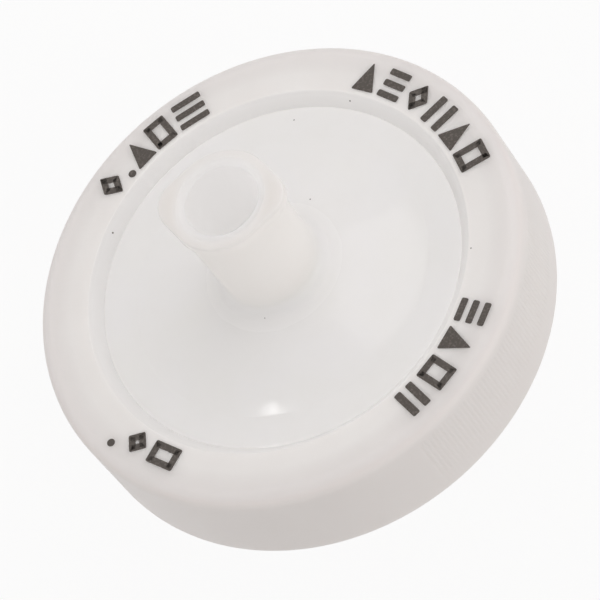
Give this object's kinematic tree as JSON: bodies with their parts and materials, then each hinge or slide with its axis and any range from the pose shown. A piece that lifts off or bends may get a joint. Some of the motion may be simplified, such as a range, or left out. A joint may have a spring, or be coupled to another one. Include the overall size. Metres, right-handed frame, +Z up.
{
  "type": "syringe filter",
  "caption": "Round disc syringe filter lying on its rim and outlet tip: white plastic body with a luer lock inlet hub, a luer slip outlet nozzle, a sealed membrane and a moulded ring.",
  "frame": {"origin": "centre of the object's box seen from above, on the ground that the filter lies on", "axes": "+Z up; the flow axis leans in the XZ plane, 35.5 degrees from +Z, with the inlet towards -X and the outlet tip down towards +X; +Y runs across the disc"},
  "size_m": [0.0282, 0.0306, 0.023],
  "materials": {
    "natural_polypropylene": "milky, slightly translucent moulded plastic with a soft gloss",
    "ring_polypropylene": "milky moulded plastic, satin on the land, finely ribbed on the side",
    "membrane": "matt white porous sheet",
    "print_ink": "thin dark grey-brown pad print, slightly mottled"
  },
  "bodies": {
    "root": {"inlet_housing": "natural_polypropylene", "membrane": "membrane", "outlet_housing": "natural_polypropylene", "moulded_ring": "ring_polypropylene"}
  },
  "joints": []
}
